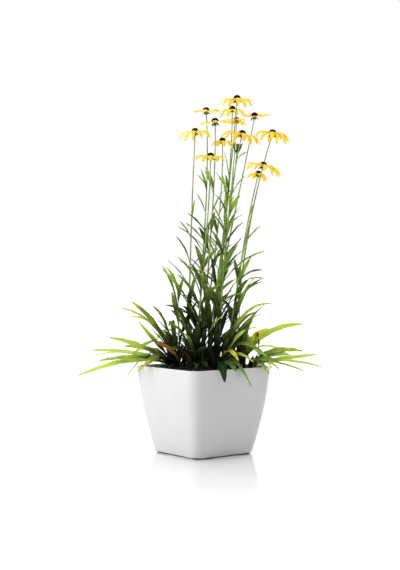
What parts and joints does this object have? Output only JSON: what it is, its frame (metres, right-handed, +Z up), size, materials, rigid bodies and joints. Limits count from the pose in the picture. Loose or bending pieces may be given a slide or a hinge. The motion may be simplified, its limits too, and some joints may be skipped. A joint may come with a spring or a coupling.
{
  "type": "potted rudbeckia daisy",
  "caption": "Tall clump of yellow coneflower daisies with dark domed centres, leafy stems and arching basal leaves, growing in soil in a square glossy white planter.",
  "frame": {"origin": "on the floor, under the middle of the square tub", "axes": "+Z up; X and Y square to the tub's sides, with its front corner towards +X and -Y, where the clump's front also looks"},
  "size_m": [0.3543, 0.4058, 0.6999],
  "materials": {
    "glaze": "smooth high-gloss white",
    "rubber": "dull black pads",
    "soil": "dark moist crumbly potting soil",
    "stem_leaf": "satin mid green leaf and stem with fine veins",
    "basal_leaf": "satin yellow-green leaf with a pale rib",
    "ray": "soft golden petal, orange towards its root",
    "bud_ray": "soft greenish yellow petal",
    "cone": "matte near-black brown florets",
    "withered": "dry rust-brown leaf",
    "yellowed": "limp yellow leaf"
  },
  "bodies": {
    "root": {"tub": "glaze", "foot_back_right": "rubber", "foot_back_left": "rubber", "foot_front_left": "rubber", "foot_front_right": "rubber", "soil": "soil", "rays_1": "ray", "cone_1": "cone", "rays_2": "ray", "cone_2": "cone", "rays_3": "ray", "cone_3": "cone", "rays_4": "ray", "cone_4": "cone", "rays_5": "ray", "cone_5": "cone", "rays_6": "ray", "cone_6": "cone", "rays_7": "ray", "cone_7": "cone", "rays_8": "ray", "cone_8": "cone", "rays_9": "ray", "cone_9": "cone", "rays_10": "ray", "cone_10": "cone", "rays_11": "ray", "cone_11": "cone", "rays_12": "ray", "cone_12": "cone", "rays_13": "ray", "cone_13": "cone", "rays_14": "bud_ray", "withered_leaf": "withered", "dry_stalk": "withered", "yellow_leaf": "yellowed", "tuft_left_low": "basal_leaf", "tuft_left_high": "basal_leaf", "tuft_middle": "basal_leaf", "tuft_front": "basal_leaf", "tuft_right_low": "basal_leaf", "tuft_right_high": "basal_leaf", "tuft_back_left": "basal_leaf", "tuft_back_right": "basal_leaf", "stem_1": "stem_leaf", "stem_2": "stem_leaf", "stem_3": "stem_leaf", "stem_4": "stem_leaf", "stem_5": "stem_leaf", "stem_6": "stem_leaf", "stem_7": "stem_leaf", "stem_8": "stem_leaf", "stem_9": "stem_leaf", "stem_10": "stem_leaf", "stem_11": "stem_leaf", "stem_12": "stem_leaf", "stem_13": "stem_leaf", "stem_14": "stem_leaf", "shoot_1": "stem_leaf", "shoot_2": "stem_leaf"}
  },
  "joints": []
}
